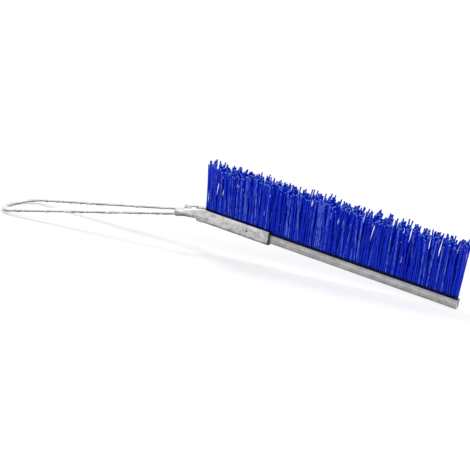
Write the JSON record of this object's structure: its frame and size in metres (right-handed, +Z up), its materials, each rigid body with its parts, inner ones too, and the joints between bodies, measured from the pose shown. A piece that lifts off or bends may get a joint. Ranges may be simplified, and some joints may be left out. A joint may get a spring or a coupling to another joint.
{
  "type": "pool wall hand brush",
  "caption": "Hand brush for scrubbing pool walls: stiff folded filaments in a steel strip channel, held by a folded sheet holder with a rod loop handle.",
  "frame": {"origin": "on the floor, at the middle of the brush's length and width, as it lies on its back", "axes": "+X from the loop handle towards the free tip of the strip, +Z up, the way the filaments point, +Y across"},
  "size_m": [0.5762, 0.0614, 0.0994],
  "materials": {
    "galvanised_rod": "satin",
    "galvanised_sheet": "satin",
    "bright_wire": "satin",
    "dark_steel": "satin",
    "blue_filament": "satin"
  },
  "bodies": {
    "root": {"loop_handle": "galvanised_rod", "holder": "galvanised_sheet", "brush_channel": "galvanised_sheet", "core_wire": "bright_wire", "lock_pin": "dark_steel", "filaments_01": "blue_filament", "filaments_02": "blue_filament", "filaments_03": "blue_filament", "filaments_04": "blue_filament", "filaments_05": "blue_filament", "filaments_06": "blue_filament", "filaments_07": "blue_filament", "filaments_08": "blue_filament", "filaments_09": "blue_filament", "filaments_10": "blue_filament", "filaments_11": "blue_filament", "filaments_12": "blue_filament", "filaments_13": "blue_filament", "filaments_14": "blue_filament", "filaments_15": "blue_filament", "filaments_16": "blue_filament", "filaments_17": "blue_filament", "filaments_18": "blue_filament"}
  },
  "joints": []
}
